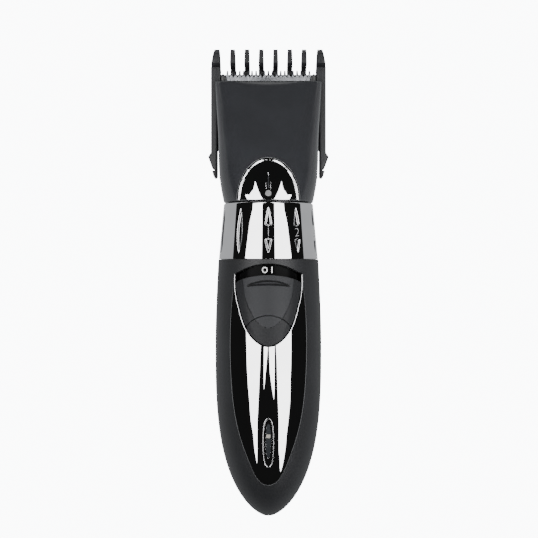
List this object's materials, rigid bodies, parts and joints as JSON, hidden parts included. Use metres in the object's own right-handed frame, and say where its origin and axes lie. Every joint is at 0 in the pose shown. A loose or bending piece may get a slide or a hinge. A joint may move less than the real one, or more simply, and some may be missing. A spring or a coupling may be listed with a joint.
{
  "type": "hair clipper",
  "caption": "Cordless hair clipper with a tapered grip, a slide switch, a numbered length ring and a clip-on guide comb",
  "frame": {"origin": "middle of the bounding box in X and Y, on the surface that the clipper lies on", "axes": "+X the clipper's right seen from the front, +Y along it towards the blades, +Z out of the front face that carries the switch"},
  "size_m": [0.047, 0.179, 0.0397],
  "materials": {
    "soft_touch": "matte soft-touch coating on moulded plastic",
    "head_plastic": "fine matte",
    "dark_chrome": "mirror plated",
    "gloss_black": "piano gloss",
    "switch_plastic": "satin moulded",
    "comb_plastic": "satin moulded",
    "black_plastic": "plain moulded",
    "lens": "smoked clear",
    "blade_steel": "ground",
    "steel": "plated",
    "spring_steel": "rolled",
    "brass": "turned",
    "nylon": "moulded nylon",
    "board": "laminate with solder mask",
    "component": "moulded packages",
    "cell_sleeve": "shrink sleeve on steel",
    "magnet": "ferrite",
    "lead": "insulated wire",
    "seal": "moulded"
  },
  "bodies": {
    "housing": {"rear_housing": "soft_touch", "front_housing": "soft_touch", "front_trim": "dark_chrome", "switch_surround": "switch_plastic", "label_window": "gloss_black", "status_lens": "lens", "status_led": "component", "chassis": "black_plastic", "housing_screws": "steel", "circuit_board": "board", "board_components": "component", "board_screws": "steel", "switch_module": "black_plastic", "battery_cell": "cell_sleeve", "battery_contacts": "steel", "charging_jack": "black_plastic", "jack_pin": "brass", "lead_wires": "lead", "motor_can": "steel", "motor_magnets": "magnet", "motor_end_cap": "nylon", "motor_bearing": "brass", "ring_washer": "nylon", "detent_ball": "steel", "detent_spring": "spring_steel", "head_housing": "head_plastic", "head_trim": "dark_chrome", "head_screws": "steel", "neck_seal": "seal"},
    "switch": {"power_slider": "switch_plastic", "slider_stem": "black_plastic"},
    "ring": {"adjusting_ring": "dark_chrome", "cam_ring": "nylon"},
    "carriage": {"blade_base": "black_plastic", "fixed_blade": "blade_steel", "blade_screws": "steel", "spring_clamp": "nylon", "blade_spring": "spring_steel", "adjuster_fork": "black_plastic"},
    "cutter": {"moving_blade": "blade_steel", "blade_driver": "nylon"},
    "rotor": {"motor_shaft": "steel", "eccentric_cam": "nylon", "motor_armature": "steel"},
    "comb": {"guide_comb": "comb_plastic"}
  },
  "joints": [
    {"name": "switch_slide", "type": "slide", "parent": "housing", "child": "switch", "axis": [0, 1, 0], "range_m": [0, 0.0026]},
    {"name": "ring_turn", "type": "hinge", "parent": "housing", "child": "ring", "pos_m": [0, 0.01815, 0.0192], "axis": [0, -1, 0], "range_deg": [0, 144]},
    {"name": "carriage_slide", "type": "slide", "parent": "housing", "child": "carriage", "axis": [0, 1, 0], "range_m": [0, 0.001]},
    {"name": "cutter_stroke", "type": "slide", "parent": "housing", "child": "cutter", "axis": [1, 0, 0], "range_m": [-0.0012, 0.0012]},
    {"name": "motor_spin", "type": "hinge", "parent": "housing", "child": "rotor", "pos_m": [0, 0.02015, 0.0192], "axis": [0, 1, 0], "continuous": true},
    {"name": "comb_slide", "type": "slide", "parent": "housing", "child": "comb", "axis": [0, 1, 0], "range_m": [0, 0.045]}
  ],
  "couplings": [
    {"joint": "carriage_slide", "follows": "ring_turn", "m_per_rad": 0.000397}
  ]
}
